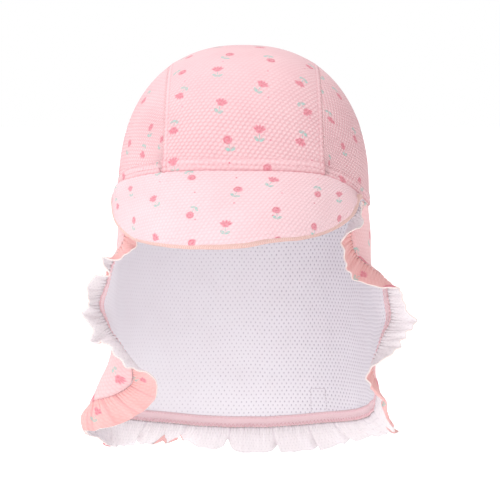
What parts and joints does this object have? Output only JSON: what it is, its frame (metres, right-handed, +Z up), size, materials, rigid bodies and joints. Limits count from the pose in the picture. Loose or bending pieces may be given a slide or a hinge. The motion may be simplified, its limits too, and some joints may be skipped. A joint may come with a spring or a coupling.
{
  "type": "toddler swim cap with neck flap",
  "caption": "Soft toddler's swim cap with a panelled round crown, a padded peak and a long frilled neck flap, printed with small flowers.",
  "frame": {"origin": "inside of the top of the crown, where the cap sits on the head", "axes": "+Z up out of the top of the head, the face looks along -Y, +X to the wearer's left"},
  "size_m": [0.2059, 0.2375, 0.2612],
  "materials": {
    "crown_middle_panel": "printed pique knit, dull",
    "crown_left_panel": "printed pique knit, dull",
    "crown_right_panel": "printed pique knit, dull",
    "peak": "printed pique knit over a soft foam sheet",
    "neck_flap": "printed pique knit, white on its inner face",
    "edge_tape": "pink knitted tape",
    "frill": "printed pique knit, white on its inner face, raw cream edge"
  },
  "bodies": {
    "root": {"crown_middle_panel": "crown_middle_panel", "crown_left_panel": "crown_left_panel", "crown_right_panel": "crown_right_panel", "peak": "peak", "neck_flap": "neck_flap", "edge_tape": "edge_tape", "frill": "frill"}
  },
  "joints": []
}
